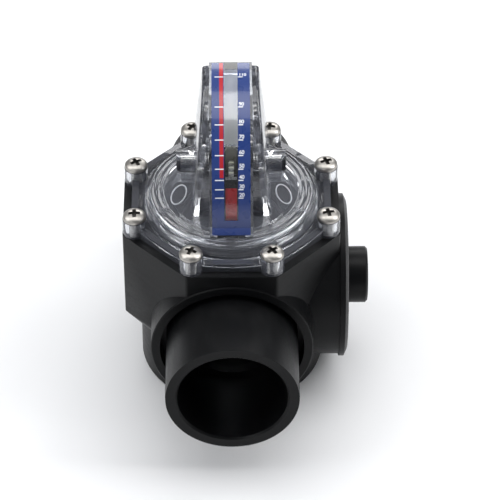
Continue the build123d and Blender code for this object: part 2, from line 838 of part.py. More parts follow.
with BuildPart() as left_spring:
    mirror(right_spring.part, about=Plane.YZ)
save(left_spring, "torsion_spring_left")

# Lid screws: head, shank and point
for index in range(screw_count):
    turn = flat_turn + index * 360 / screw_count
    screw_x = screw_circle_radius * cos(radians(turn))
    screw_y = screw_circle_radius * sin(radians(turn))
    head_plane = Plane(origin=(screw_x, screw_y, screw_seat))
    with BuildPart() as lid_screw:
        with BuildSketch(head_plane):
            Circle(screw_head_radius)
        extrude(amount=screw_head_height)
        chamfer(lid_screw.edges().sort_by(Axis.Z)[-1], screw_head_edge)
        with BuildSketch(head_plane):
            Circle(screw_shank_radius)
        extrude(amount=-(screw_boss_height + screw_engagement))
        chamfer(lid_screw.edges().sort_by(Axis.Z)[0], screw_point, screw_shank_radius - 1)
    save(lid_screw, "lid_screw_" + str(index + 1))
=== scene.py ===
"""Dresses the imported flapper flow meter: clear lid, printed scale, screws, springs, finishes and studio."""

import json
import logging
import math
from dataclasses import dataclass, field
from enum import Enum
from typing import Any

import bmesh
import bpy
from mathutils import Matrix, Vector


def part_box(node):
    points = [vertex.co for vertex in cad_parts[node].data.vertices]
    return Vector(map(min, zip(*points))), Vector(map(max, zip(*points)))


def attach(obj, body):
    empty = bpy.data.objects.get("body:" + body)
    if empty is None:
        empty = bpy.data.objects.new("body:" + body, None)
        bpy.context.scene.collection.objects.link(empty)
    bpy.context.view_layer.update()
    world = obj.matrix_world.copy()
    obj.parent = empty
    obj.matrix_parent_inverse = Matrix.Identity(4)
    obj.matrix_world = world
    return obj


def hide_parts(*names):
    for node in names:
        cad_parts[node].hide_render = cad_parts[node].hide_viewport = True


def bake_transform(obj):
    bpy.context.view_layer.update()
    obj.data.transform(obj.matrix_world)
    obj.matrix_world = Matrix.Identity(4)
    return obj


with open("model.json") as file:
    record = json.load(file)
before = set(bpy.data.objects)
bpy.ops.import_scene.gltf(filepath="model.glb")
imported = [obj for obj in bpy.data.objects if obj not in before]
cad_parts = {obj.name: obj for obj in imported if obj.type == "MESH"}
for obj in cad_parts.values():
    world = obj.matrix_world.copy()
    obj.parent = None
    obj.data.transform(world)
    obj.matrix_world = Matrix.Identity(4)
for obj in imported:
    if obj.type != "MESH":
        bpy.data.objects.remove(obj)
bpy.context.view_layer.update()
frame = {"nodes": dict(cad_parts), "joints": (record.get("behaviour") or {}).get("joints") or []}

LOG = logging.getLogger("flow_meter")
MM = 0.001
FULL_TURN = 2 * math.pi
SIDES = (1, -1)
UP = Vector((0.0, 0.0, 1.0))
Pair = tuple[float, float]
Colour = tuple[float, float, float]


class Body(Enum):
    """The bodies of the model that pieces ride on."""

    HOUSING = "housing"
    FLAPPER = "flapper_assembly"


class Slot(Enum):
    """The record's material slots."""

    BODY = "body_plastic"
    CLEAR = "clear_plastic"
    KEEPER = "clear_keeper"
    LABEL = "label_film"
    SCREW = "screw_steel"
    STAINLESS = "stainless"
    SPRING = "spring_steel"
    RUBBER = "seal_rubber"
    SEAT = "seat_plastic"
    WASHER = "washer_plastic"
    FLAPPER = "flapper_plastic"
    RED = "pointer_red"
    BLACK = "pointer_black"


class Value:
    """One number in a shader, with Python's operators on it."""

    def __init__(self, graph: "Graph", socket: Any) -> None:
        """Keep the graph and the output socket."""
        self.graph = graph
        self.socket = socket

    def _join(self, operation: str, *inputs: Any) -> "Value":
        """Add one Math node with these inputs."""
        return self.graph.value("ShaderNodeMath", dict(enumerate(inputs)), operation=operation)

    def __add__(self, other: Any) -> "Value":
        """Sum."""
        return self._join("ADD", self, other)

    __radd__ = __add__

    def __sub__(self, other: Any) -> "Value":
        """Difference."""
        return self._join("SUBTRACT", self, other)

    def __rsub__(self, other: Any) -> "Value":
        """Difference with this value taken away."""
        return self._join("SUBTRACT", other, self)

    def __mul__(self, other: Any) -> "Value":
        """Product."""
        return self._join("MULTIPLY", self, other)

    def __abs__(self) -> "Value":
        """Size without sign."""
        return self._join("ABSOLUTE", self)

    def __gt__(self, other: Any) -> "Value":
        """1 where this value is larger, else 0."""
        return self._join("GREATER_THAN", self, other)

    def __lt__(self, other: Any) -> "Value":
        """1 where this value is smaller, else 0."""
        return self._join("LESS_THAN", self, other)

    def sine(self) -> "Value":
        """Sine of this value."""
        return self._join("SINE", self)

    def root(self) -> "Value":
        """Square root of this value."""
        return self._join("SQRT", self)


class Graph:
    """A material's node tree."""

    def __init__(self, name: str) -> None:
        """Start an empty material of this name."""
        self.material = bpy.data.materials.new(name)
        self.material.use_nodes = True
        self.tree = self.material.node_tree
        self.tree.nodes.clear()

    def node(self, kind: str, inputs: dict | None = None, **settings: Any) -> Any:
        """Add one node.

        Args:
            kind: The node's type name.
            inputs: Values or links by socket index or name.
            **settings: Attributes set before anything is linked.

        Returns:
            The new node.
        """
        made = self.tree.nodes.new(kind)
        for key, setting in settings.items():
            setattr(made, key, setting)
        for key, given in (inputs or {}).items():
            self.feed(made.inputs[key], given)
        return made

    def value(self, kind: str, inputs: dict, **settings: Any) -> Value:
        """Add one node and take its first output as a number."""
        return Value(self, self.node(kind, inputs, **settings).outputs[0])

    def feed(self, socket: Any, given: Any) -> None:
        """Link or set one socket.

        Args:
            socket: The input socket.
            given: A Value, an output socket, a number or a colour.
        """
        if isinstance(given, Value):
            given = given.socket
        if isinstance(given, bpy.types.NodeSocket):
            self.tree.links.new(given, socket)
        elif isinstance(given, tuple) and len(given) == 3 and socket.type == "RGBA":
            socket.default_value = (*given, 1.0)
        else:
            socket.default_value = given

    def place(self) -> Any:
        """The Object coordinates of the point that is shaded."""
        return self.node("ShaderNodeTexCoord").outputs["Object"]

    def axis_values(self) -> tuple[Value, ...]:
        """The point's X, Y and Z in metres."""
        parts = self.node("ShaderNodeSeparateXYZ", {0: self.place()})
        return tuple(Value(self, output) for output in parts.outputs)

    def noise(self, scale: float, detail: float, stretch: tuple = (1.0, 1.0, 1.0)) -> Value:
        """A soft random value.

        Args:
            scale: Waves per metre.
            detail: Octaves.
            stretch: Scale of each axis before the noise.

        Returns:
            The noise, about 0 to 1.
        """
        mapped = self.node("ShaderNodeMapping", {"Vector": self.place(), "Scale": stretch}).outputs[0]
        return self.value("ShaderNodeTexNoise", {"Vector": mapped, "Scale": scale, "Detail": detail})

    def ramp(self, value: Value, low: float, high: float, to_low: float = 0.0, to_high: float = 1.0) -> Value:
        """Map a range of values to another, held at its ends.

        Args:
            value: What is mapped.
            low: The value that gives to_low.
            high: The value that gives to_high.
            to_low: The first result.
            to_high: The last result.

        Returns:
            The mapped value.
        """
        return self.value("ShaderNodeMapRange", dict(enumerate((value, low, high, to_low, to_high))))

    def mix(self, share: Any, first: Any, second: Any) -> Any:
        """Blend two colours.

        Args:
            share: How much of the second colour, 0 to 1.
            first: The first colour.
            second: The second colour.

        Returns:
            The blended colour's socket.
        """
        return self.node("ShaderNodeMix", {0: share, 6: first, 7: second}, data_type="RGBA").outputs[2]

    def bump(self, height: Value, distance: float, base: Any = None) -> Any:
        """Turn a height into a normal.

        Args:
            height: The height, about 0 to 1.
            distance: The height's size in metres.
            base: The normal that it is added to, where there is one.

        Returns:
            The normal's socket.
        """
        inputs = {"Height": height, "Distance": distance, "Strength": 1.0}
        if base is not None:
            inputs["Normal"] = base
        return self.node("ShaderNodeBump", inputs).outputs[0]

    def shader(self, **inputs: Any) -> Any:
        """Add a Principled shader.

        Args:
            **inputs: The shader's sockets, with spaces as underscores.

        Returns:
            Its output socket.
        """
        named = {key.replace("_", " "): given for key, given in inputs.items()}
        return self.node("ShaderNodeBsdfPrincipled", named).outputs[0]

    def end(self, surface: Any) -> Any:
        """Link the surface and return the material."""
        self.node("ShaderNodeOutputMaterial", {"Surface": surface})
        return self.material

    def finish(self, **inputs: Any) -> Any:
        """End the graph with one Principled shader and return the material."""
        return self.end(self.shader(**inputs))


def scaled(colour: Colour, share: float) -> Colour:
    """The colour made lighter or darker."""
    return tuple(channel * share for channel in colour)


@dataclass(frozen=True)
class MouldedPlastic:
    """Opaque moulded plastic with a faint grain, flow marks and rubbed patches."""

    name: str
    colour: Colour
    worn_colour: Colour
    roughness: float = 0.36
    grain: float = 0.02 * MM
    specular: float = 0.5

    def material(self) -> Any:
        """Build the material."""
        g = Graph(self.name)
        cloud = g.noise(18.0, 4.0)
        fine = g.noise(900.0, 2.0)
        marks = g.noise(60.0, 3.0, (1.0, 1.0, 6.0))
        worn = g.ramp(cloud * 0.6 + marks * 0.4, 0.5, 0.72)
        rough = marks * 0.5 + fine * 0.5
        return g.finish(
            Base_Color=g.mix(worn, self.colour, self.worn_colour),
            Roughness=g.ramp(rough, 0.3, 0.7, self.roughness - 0.05, self.roughness + 0.09),
            Specular_IOR_Level=self.specular,
            Normal=g.bump(fine * 0.7 + marks * 0.3, self.grain),
        )


@dataclass(frozen=True)
class ClearPlastic:
    """Clear polycarbonate: flow rings on the drum, drawn streaks on the fin, a clean scale window."""

    name: str
    tint: Colour = (0.95, 0.968, 0.99)
    haze_dark: Colour = (0.06, 0.06, 0.075)
    haze_pale: Colour = (0.46, 0.48, 0.56)
    least_haze: float = 0.06
    drum_haze: float = 0.05
    fin_haze: float = 0.2
    window_half_width: float = 4.1 * MM
    window_edge: float = 0.2 * MM
    fin_foot: float = 119.0 * MM
    ring_start: float = 37.2 * MM
    ring_end: float = 51.5 * MM
    ring_pitch: float = 3.1 * MM
    ring_wobble: float = 0.8
    ring_height: float = 0.3 * MM
    wave_height: float = 0.09 * MM
    roughness: float = 0.012
    index: float = 1.57

    def material(self) -> Any:
        """Build the material."""
        g = Graph(self.name)
        x, y, z = g.axis_values()
        waves = g.noise(45.0, 2.0)
        drawn = g.noise(280.0, 4.0, (1.0, 1.0, 0.12))
        fine = g.noise(900.0, 2.0)
        on_fin = z > self.fin_foot
        on_drum = 1.0 - on_fin
        radius = (x * x + y * y).root()
        rings = (radius * (FULL_TURN / self.ring_pitch) + waves * self.ring_wobble).sine() * 0.5 + 0.5
        in_rings = (radius > self.ring_start) * (radius < self.ring_end) * on_drum
        normal = g.bump(waves * 0.8 + drawn * on_fin * 0.3, self.wave_height)
        normal = g.bump(rings * in_rings, self.ring_height, base=normal)
        clear = g.shader(
            Base_Color=self.tint,
            Roughness=g.ramp(fine, 0.5, 0.8, self.roughness, self.roughness + 0.03),
            IOR=self.index,
            Transmission_Weight=1.0,
            Normal=normal,
        )
        streaks = on_fin * g.ramp(drawn, 0.36, 0.68)
        hazy = g.shader(
            Base_Color=g.mix(on_drum + streaks, self.haze_dark, self.haze_pale),
            Roughness=g.ramp(fine, 0.3, 0.7, 0.22, 0.4),
            Normal=normal,
        )
        aside = g.ramp(abs(x), self.window_half_width, self.window_half_width + self.window_edge)
        amount = self.least_haze + streaks * self.fin_haze + on_drum * self.drum_haze
        share = amount * g.ramp(aside + on_drum, 0.0, 1.0)
        return g.end(g.node("ShaderNodeMixShader", {0: share, 1: clear, 2: hazy}).outputs[0])


@dataclass(frozen=True)
class Steel:
    """Stainless steel with fine turning lines and darker spots."""

    name: str
    colour: Colour = (0.63, 0.61, 0.57)
    roughness: float = 0.24
    lines: float = 3000.0
    spot_shade: float = 0.72
    relief: float = 0.015 * MM

    def material(self) -> Any:
        """Build the material."""
        g = Graph(self.name)
        spots = g.noise(420.0, 4.0)
        turned = g.noise(self.lines, 2.0, (0.15, 0.15, 1.0))
        return g.finish(
            Base_Color=g.mix(g.ramp(spots, 0.42, 0.75), self.colour, scaled(self.colour, self.spot_shade)),
            Metallic=1.0,
            Roughness=g.ramp(turned, 0.3, 0.7, self.roughness - 0.05, self.roughness + 0.1),
            Normal=g.bump(turned * 0.5 + spots * 0.5, self.relief),
        )


@dataclass(frozen=True)
class PaintedRim:
    """Dark moulding with a red rim, past a radius round the hinge, and pale stripes of painted highlight
    across its upper edge.
    """

    name: str
    hinge_y: float
    hinge_z: float
    rim_radius: float = 50.8 * MM
    painted_highlight_radius: float = 40.5 * MM
    painted_highlight_pitch: float = 13.5 * MM
    painted_highlight_level: float = 0.55
    paint: Colour = (0.6, 0.004, 0.009)
    paint_glow: float = 1.5
    # Colour of the painted highlight stripes on the upper edge.
    pale: Colour = (0.8, 0.8, 0.6)
    moulding: Colour = (0.12, 0.115, 0.085)
    relief: float = 0.02 * MM

    def material(self) -> Any:
        """Build the material."""
        g = Graph(self.name)
        _, y, z = g.axis_values()
        across, up = y - self.hinge_y, z - self.hinge_z
        radius = (across * across + up * up).root()
        # Painted highlight: pale stripes at set radii across the upper edge stand in for lit edges.
        painted_highlight_wave = ((radius - self.painted_highlight_radius) * (FULL_TURN / self.painted_highlight_pitch) + FULL_TURN / 4).sine()
        lines = (painted_highlight_wave > self.painted_highlight_level) * (radius < self.painted_highlight_radius + self.painted_highlight_pitch / 2)
        mottle = g.noise(350.0, 3.0)
        red = g.mix(g.ramp(mottle, 0.3, 0.8), self.paint, scaled(self.paint, self.paint_glow))
        return g.finish(
            Base_Color=g.mix(radius > self.rim_radius, g.mix(lines, self.moulding, self.pale), red),
            Roughness=g.ramp(mottle, 0.3, 0.7, 0.24, 0.36),
            Normal=g.bump(mottle, self.relief),
        )


@dataclass(frozen=True)
class Rubber:
    """Black moulded rubber with a dusty bloom."""

    name: str
    colour: Colour = (0.018, 0.018, 0.019)
    bloom_colour: Colour = (0.06, 0.06, 0.062)
    relief: float = 0.02 * MM

    def material(self) -> Any:
        """Build the material."""
        g = Graph(self.name)
        bloom = g.noise(120.0, 4.0)
        return g.finish(
            Base_Color=g.mix(g.ramp(bloom, 0.45, 0.8), self.colour, self.bloom_colour),
            Roughness=g.ramp(bloom, 0.3, 0.7, 0.55, 0.75),
            Normal=g.bump(g.noise(1400.0, 2.0), self.relief),
        )


@dataclass(frozen=True)
class PrintedFilm:
    """Glossy ink on film, with a faint uneven laydown; the pale colour lies below foot_height, if given."""

    name: str
    colour: Colour
    pale: Colour
    foot_height: float = 0.0
    foot_edge: float = 0.2 * MM
    relief: float = 0.01 * MM

    def material(self) -> Any:
        """Build the material."""
        g = Graph(self.name)
        mottle = g.noise(90.0, 2.0)
        base = g.mix(g.ramp(mottle, 0.35, 0.75, 0.0, 0.15), self.colour, self.pale)
        if self.foot_height:
            _, _, height = g.axis_values()
            edge = g.ramp(height, self.foot_height + self.foot_edge, self.foot_height - self.foot_edge)
            base = g.mix(edge, base, self.pale)
        return g.finish(
            Base_Color=base,
            Roughness=g.ramp(mottle, 0.3, 0.7, 0.24, 0.34),
            Coat_Weight=0.4,
            Normal=g.bump(mottle, self.relief),
        )


@dataclass(frozen=True)
class FrostedFilm:
    """Milky film that lets light through and blurs it, with painted shade that makes it greyer towards its
    upper end.
    """

    name: str
    colour: Colour = (0.93, 0.93, 0.91)
    worn_colour: Colour = (0.84, 0.84, 0.83)
    painted_shade_colour: Colour = (0.64, 0.65, 0.71)
    painted_shade_start: float = 140.0 * MM
    painted_shade_end: float = 162.0 * MM
    relief: float = 0.02 * MM

    def material(self) -> Any:
        """Build the material."""
        g = Graph(self.name)
        _, _, height = g.axis_values()
        cloud = g.noise(110.0, 3.0, (1.0, 1.0, 0.3))
        lower = g.mix(g.ramp(cloud, 0.35, 0.7), self.colour, self.worn_colour)
        return g.finish(
            # Painted shade: the colour turns greyer towards the film's upper end.
            Base_Color=g.mix(g.ramp(height, self.painted_shade_start, self.painted_shade_end), lower, self.painted_shade_colour),
            Roughness=g.ramp(cloud, 0.3, 0.7, 0.5, 0.62),
            Transmission_Weight=0.85,
            IOR=1.3,
            Normal=g.bump(cloud, self.relief),
        )


@dataclass(frozen=True)
class StudioFloor:
    """Plain pale floor with a barely visible tooth."""

    name: str
    colour: Colour = (0.86, 0.865, 0.875)
    tooth_shade: float = 0.98
    relief: float = 0.02 * MM

    def material(self) -> Any:
        """Build the material."""
        g = Graph(self.name)
        tooth = g.noise(40.0, 3.0)
        shade = scaled(self.colour, self.tooth_shade)
        return g.finish(
            Base_Color=g.mix(g.ramp(tooth, 0.3, 0.7, 0.0, 0.25), self.colour, shade),
            Roughness=0.7,
            Normal=g.bump(tooth, self.relief),
        )


def new_object(name: str, data: Any) -> Any:
    """Link a new object with this mesh, light, camera or text at the origin."""
    made = bpy.data.objects.new(name, data)
    bpy.context.scene.collection.objects.link(made)
    return made


def new_mesh(name: str, bm: Any) -> Any:
    """Turn a bmesh into a mesh and free it."""
    mesh = bpy.data.meshes.new(name)
    bm.to_mesh(mesh)
    bm.free()
    return mesh


def from_bmesh(name: str, bm: Any) -> Any:
    """Turn a bmesh, in metres and in place, into an object and free it."""
    return new_object(name, new_mesh(name, bm))


def face_out(bm: Any) -> None:
    """Point all faces of a closed bmesh outwards."""
    bmesh.ops.recalc_face_normals(bm, faces=bm.faces)
    if bm.calc_volume(signed=True) < 0:
        bmesh.ops.reverse_faces(bm, faces=bm.faces)


def close_up(bm: Any, distance: float = 0.001 * MM) -> None:
    """Merge doubles, cap open ends and point all faces outwards."""
    bmesh.ops.remove_doubles(bm, verts=bm.verts, dist=distance)
    rims = [edge for edge in bm.edges if edge.is_boundary]
    if rims:
        bmesh.ops.holes_fill(bm, edges=rims, sides=0)
    face_out(bm)


def thicken(bm: Any) -> list:
    """Extrude a whole sheet and return the new side's points, which are still in place."""
    made = bmesh.ops.extrude_face_region(bm, geom=list(bm.faces))["geom"]
    return [item for item in made if isinstance(item, bmesh.types.BMVert)]


def add_box(bm: Any, size: tuple, place: Matrix) -> None:
    """Add a box of this size, centred on the place."""
    made = bmesh.ops.create_cube(bm, size=1.0)["verts"]
    bmesh.ops.transform(bm, matrix=place @ Matrix.Diagonal((*size, 1.0)), verts=made)


def soften(bm: Any, edges: list, offset: float, segments: int) -> None:
    """Round these edges off."""
    bmesh.ops.bevel(
        bm, geom=edges, offset=offset, segments=segments, profile=0.5, affect="EDGES", material=-1
    )


def add_section(bm: Any, radius: float, sides: int, centre: Vector) -> list:
    """Add a circle that stands in the X-Z plane and return its points and edges."""
    ring = bmesh.ops.create_circle(bm, radius=radius, segments=sides)["verts"]
    stand = Matrix.Translation(centre) @ Matrix.Rotation(math.pi / 2, 4, "X")
    bmesh.ops.transform(bm, matrix=stand, verts=ring)
    return ring + list({edge for vert in ring for edge in vert.link_edges})


def spin_profile(
    bm: Any, profile: list[Pair], foot: Vector, steps: int, turns: int = 1, rise: float = 0.0
) -> None:
    """Spin a profile round an upright axis.

    Args:
        bm: The bmesh that gains the surface.
        profile: Points as radius and height over the foot, in metres.
        foot: The axis's foot.
        steps: Steps in a full turn.
        turns: How many turns it takes.
        rise: How far each turn climbs; without it the surface closes on itself.
    """
    verts = [bm.verts.new(foot + Vector((radius, 0.0, height))) for radius, height in profile]
    edges = [bm.edges.new(pair) for pair in zip(verts, verts[1:])]
    bmesh.ops.spin(
        bm,
        geom=verts + edges,
        cent=foot,
        axis=(0, 0, 1),
        dvec=(0, 0, rise / steps),
        angle=FULL_TURN * turns,
        steps=steps * turns,
        use_merge=not rise,
    )


def smooth(obj: Any, angle: float = 32.0) -> None:
    """Shade an object smooth, with edges sharper than the angle kept crisp."""
    bm = bmesh.new()
    bm.from_mesh(obj.data)
    limit = math.radians(angle)
    for face in bm.faces:
        face.smooth = True
    for edge in bm.edges:
        edge.smooth = len(edge.link_faces) == 2 and edge.calc_face_angle(0.0) < limit
    bm.to_mesh(obj.data)
    bm.free()


def finish(obj: Any, slot: Slot, *materials: Any) -> None:
    """Give a piece its materials, in their order."""
    for material in materials:
        obj.data.materials.append(material)
    LOG.info("piece %s finished", obj.name)


def settle(obj: Any, slot: Slot, *materials: Any) -> None:
    """Finish a piece and let it ride on the housing."""
    finish(obj, slot, *materials)
    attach(obj, Body.HOUSING.value)


@dataclass
class Hinge:
    """The flapper's axis, read from the joint."""

    y: float
    z: float

    @classmethod
    def read(cls) -> "Hinge":
        """Take the axis from the frame's joint."""
        place = frame["joints"][0]["pos_m"]
        return cls(place[1], place[2])

    def point(self, x: float, radius: float, angle: float) -> Vector:
        """A point round the axis.

        Args:
            x: Place along the axis in metres.
            radius: Distance from the axis in metres.
            angle: Degrees above the outlet side.

        Returns:
            The point.
        """
        turn = math.radians(angle)
        return Vector((x, self.y - radius * math.cos(turn), self.z + radius * math.sin(turn)))


@dataclass
class StandIn:
    """A piece that stands for one CAD node: here the node itself, merged and shaded smooth."""

    node: str
    body: Body = Body.HOUSING
    slot: Slot = Slot.BODY
    angle: float = 32.0

    def mesh(self) -> Any:
        """Copy the node's mesh and merge its loose triangles."""
        bm = bmesh.new()
        bm.from_mesh(frame["nodes"][self.node].data)
        bmesh.ops.remove_doubles(bm, verts=bm.verts, dist=0.002 * MM)
        bmesh.ops.dissolve_degenerate(bm, edges=bm.edges, dist=0.0005 * MM)
        return from_bmesh(self.node + "_dressed", bm)

    def attach(self, piece: Any) -> None:
        """Let the piece ride on its body."""
        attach(piece, self.body.value)

    def dress(self, *materials: Any) -> None:
        """Shade, finish and attach the piece, and hide its node.

        Args:
            *materials: Its finishes, in their order.
        """
        piece = self.mesh()
        smooth(piece, self.angle)
        finish(piece, self.slot, *materials)
        self.attach(piece)
        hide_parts(self.node)


@dataclass
class LidScrew(StandIn):
    """A pan-head screw with a cross recess and a rolled thread."""

    slot: Slot = Slot.SCREW
    angle: float = 38.0
    head_height: float = 4.0 * MM
    head_rim: float = 1.3 * MM
    head_chamfer: float = 0.25 * MM
    head_gap: float = 0.02 * MM
    head_steps: int = 40
    dome_steps: int = 10
    crest_radius: float = 3.1 * MM
    root_radius: float = 2.45 * MM
    pitch: float = 1.6 * MM
    thread_steps: int = 24
    recess_depth: float = 2.2 * MM
    recess_reach: float = 3.9 * MM
    recess_half_width: float = 1.2 * MM
    recess_taper: float = 0.55
    recess_turn: float = 0.0
    cutter_rise: float = 0.6 * MM
    shaded_depth: float = 0.3 * MM
    shaded_reach: float = 4.095 * MM
    head_radius: float = field(init=False)
    low: float = field(init=False)
    seat: Vector = field(init=False)

    def __post_init__(self) -> None:
        """Read the screw's place from its CAD node."""
        low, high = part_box(self.node)
        self.head_radius = (high[0] - low[0]) / 2
        self.low = low[2]
        self.seat = Vector(((low[0] + high[0]) / 2, (low[1] + high[1]) / 2, high[2] - self.head_height))

    def dome_height(self, radius: float) -> float:
        """The dome's height over the seat at a radius."""
        share = max(0.0, 1 - (radius / self.head_radius) ** 2)
        return self.head_rim + (self.head_height - self.head_rim) * math.sqrt(share)

    def head(self) -> Any:
        """Domed head with the recess cut out."""
        turns = [math.pi / 2 * step / self.dome_steps for step in range(self.dome_steps)]
        radii = [self.head_radius * math.cos(turn) for turn in turns]
        profile = [
            (0.0, 0.0),
            (self.head_radius - self.head_chamfer, 0.0),
            (self.head_radius, self.head_chamfer),
            *((radius, self.dome_height(radius)) for radius in radii),
            (0.0, self.head_height),
        ]
        bm = bmesh.new()
        spin_profile(bm, profile, self.seat + UP * self.head_gap, self.head_steps)
        close_up(bm, 0.0005 * MM)
        head = from_bmesh(self.node + "_head", bm)
        cutter = self.recess_cutter()
        cut = head.modifiers.new("recess", "BOOLEAN")
        cut.operation = "DIFFERENCE"
        cut.solver = "EXACT"
        cut.object = cutter
        bpy.context.view_layer.update()
        depsgraph = bpy.context.evaluated_depsgraph_get()
        cut_mesh = bpy.data.meshes.new_from_object(head.evaluated_get(depsgraph))
        bpy.data.objects.remove(head)
        bpy.data.objects.remove(cutter)
        # Recess faces take the second material, a darker steel that paints shade into the recess.
        for face in cut_mesh.polygons:
            face.material_index = int(self.in_recess(face))
        return cut_mesh

    def in_recess(self, face: Any) -> bool:
        """Whether a face of the head is one of the recess's walls or its floor, which take a darker steel as
        painted shade.

        Args:
            face: The face.

        Returns:
            True for the recess.
        """
        place = face.center - self.seat
        sunk = self.dome_height(place.xy.length) - place.z > self.shaded_depth
        return sunk and place.xy.length < self.shaded_reach and face.normal.z > -0.5

    def recess_cutter(self) -> Any:
        """Tapered cross that cuts the recess."""
        reach, half = self.recess_reach, self.recess_half_width
        bm = bmesh.new()
        outline = []
        for step in range(4):
            turn = Matrix.Rotation(self.recess_turn + step * math.pi / 2, 3, "Z")
            for x, y in ((reach, -half), (reach, half), (half, half)):
                outline.append(bm.verts.new(turn @ Vector((x, y, self.cutter_rise))))
        bm.faces.new(outline)
        low = thicken(bm)
        bmesh.ops.translate(bm, vec=(0, 0, -self.recess_depth - self.cutter_rise), verts=low)
        bmesh.ops.scale(bm, vec=(self.recess_taper, self.recess_taper, 1.0), verts=low)
        bmesh.ops.translate(bm, vec=self.seat + UP * self.head_height, verts=bm.verts)
        face_out(bm)
        return from_bmesh(self.node + "_cutter", bm)

    def thread(self) -> Any:
        """Helical thread from the point to the head's underside."""
        turns = int((self.seat.z - self.low) / self.pitch) - 1
        foot = self.seat - UP * (turns + 1) * self.pitch
        root, crest = self.root_radius, self.crest_radius
        shape = ((root, 0.0), (crest, 0.38), (crest, 0.5), (root, 0.88), (root, 1.0))
        profile = [(radius, share * self.pitch) for radius, share in shape]
        bm = bmesh.new()
        spin_profile(bm, profile, foot, self.thread_steps, turns, self.pitch)
        close_up(bm, 0.004 * MM)
        return new_mesh("thread", bm)

    def mesh(self) -> Any:
        """Join head and thread in one piece."""
        bm = bmesh.new()
        for part in (self.head(), self.thread()):
            bm.from_mesh(part)
            bpy.data.meshes.remove(part)
        return from_bmesh(self.node + "_steel", bm)


